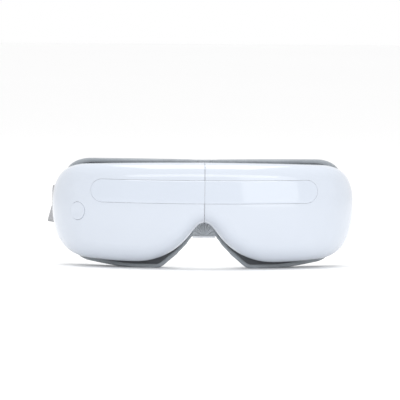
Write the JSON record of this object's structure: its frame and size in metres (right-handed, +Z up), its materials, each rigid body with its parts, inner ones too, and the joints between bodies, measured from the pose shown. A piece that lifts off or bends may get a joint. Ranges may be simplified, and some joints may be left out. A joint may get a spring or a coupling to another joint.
{
  "type": "eye massager mask",
  "caption": "Foldable eye massager mask: two glossy curved shells hinged at the nose bridge, soft face pads with eye cushions, power button and adjustable head strap.",
  "frame": {"origin": "middle of the whole mask with its strap loop, at the level of the lowest point of the face pads", "axes": "+Z up, -Y out of the glossy front face, +X towards the left eye of the wearer"},
  "size_m": [0.2092, 0.1779, 0.0747],
  "materials": {
    "gloss_shell": "bluish white moulded plastic, polished",
    "trim_panel": "bluish white inlaid panel, mirror polished",
    "dark_plastic": "dark grey moulded plastic, fine spark texture",
    "pad_leather": "grey synthetic leather over foam, fine grain",
    "eye_cloth": "grey stretch mesh cloth",
    "strap_webbing": "light grey elastic webbing",
    "steel": "plain steel",
    "circuit_board": "green solder mask",
    "air_bag_film": "translucent soft plastic",
    "heating_foil": "amber polyimide film",
    "battery_wrap": "blue shrink wrap"
  },
  "bodies": {
    "right_half": {"right_front_shell": "gloss_shell", "right_trim_panel": "trim_panel", "right_rear_frame": "dark_plastic", "right_frame_screw_1": "steel", "right_frame_screw_2": "steel", "right_frame_screw_3": "steel", "right_pad_carrier": "dark_plastic", "right_face_pad": "pad_leather", "right_air_bag": "air_bag_film", "right_heating_film": "heating_foil", "right_eye_cushion": "eye_cloth", "right_vibration_motor": "steel", "right_strap_lug": "dark_plastic", "right_lug_pin": "steel", "right_hinge_leaf": "steel", "main_circuit_board": "circuit_board", "air_pump": "steel", "air_valve": "dark_plastic", "button_switch": "dark_plastic", "charging_socket": "steel", "hinge_pin": "steel", "hinge_cable": "heating_foil", "cross_hose": "air_bag_film", "nose_flap": "pad_leather", "bridge_gusset": "pad_leather"},
    "left_half": {"left_front_shell": "gloss_shell", "left_trim_panel": "trim_panel", "left_rear_frame": "dark_plastic", "left_frame_screw_1": "steel", "left_frame_screw_2": "steel", "left_frame_screw_3": "steel", "left_pad_carrier": "dark_plastic", "left_face_pad": "pad_leather", "left_air_bag": "air_bag_film", "left_heating_film": "heating_foil", "left_eye_cushion": "eye_cloth", "left_vibration_motor": "steel", "left_strap_lug": "dark_plastic", "left_lug_pin": "steel", "left_hinge_leaf": "steel", "battery": "battery_wrap"},
    "power_button": {"power_button": "gloss_shell"},
    "right_motor_weight": {"right_motor_weight": "steel"},
    "left_motor_weight": {"left_motor_weight": "steel"},
    "right_strap": {"right_strap": "strap_webbing", "right_clasp": "dark_plastic"},
    "left_strap": {"left_strap": "strap_webbing", "left_clasp": "dark_plastic"},
    "strap_slider": {"strap_slider": "dark_plastic"}
  },
  "joints": [
    {"name": "fold", "type": "hinge", "parent": "right_half", "child": "left_half", "pos_m": [0, -0.067, 0.054], "axis": [0, 0, 1], "range_deg": [0, 100], "deforming": ["nose_flap", "bridge_gusset", "hinge_cable", "cross_hose"]},
    {"name": "right_strap_swing", "type": "hinge", "parent": "right_half", "child": "right_strap", "pos_m": [-0.0995, -0.02, 0.041], "axis": [0, 0, 1], "range_deg": [0, 90]},
    {"name": "left_strap_swing", "type": "hinge", "parent": "left_half", "child": "left_strap", "pos_m": [0.0995, -0.02, 0.041], "axis": [0, 0, 1], "range_deg": [-90, 0]},
    {"name": "button_press", "type": "slide", "parent": "right_half", "child": "power_button", "axis": [0.6423, 0.7665, 0], "range_m": [0, 0.0008], "stiffness_N_per_m": 1500},
    {"name": "slider_travel", "type": "slide", "parent": "left_strap", "child": "strap_slider", "axis": [0, 1, 0], "range_m": [0, 0.016]},
    {"name": "right_motor_spin", "type": "hinge", "parent": "right_half", "child": "right_motor_weight", "pos_m": [-0.072, -0.059, 0.031], "axis": [0, 0, 1], "continuous": true},
    {"name": "left_motor_spin", "type": "hinge", "parent": "left_half", "child": "left_motor_weight", "pos_m": [0.072, -0.059, 0.031], "axis": [0, 0, 1], "continuous": true}
  ],
  "couplings": [
    {"joint": "right_strap_swing", "follows": "fold", "ratio": 0.9},
    {"joint": "left_strap_swing", "follows": "fold", "ratio": -0.9}
  ]
}
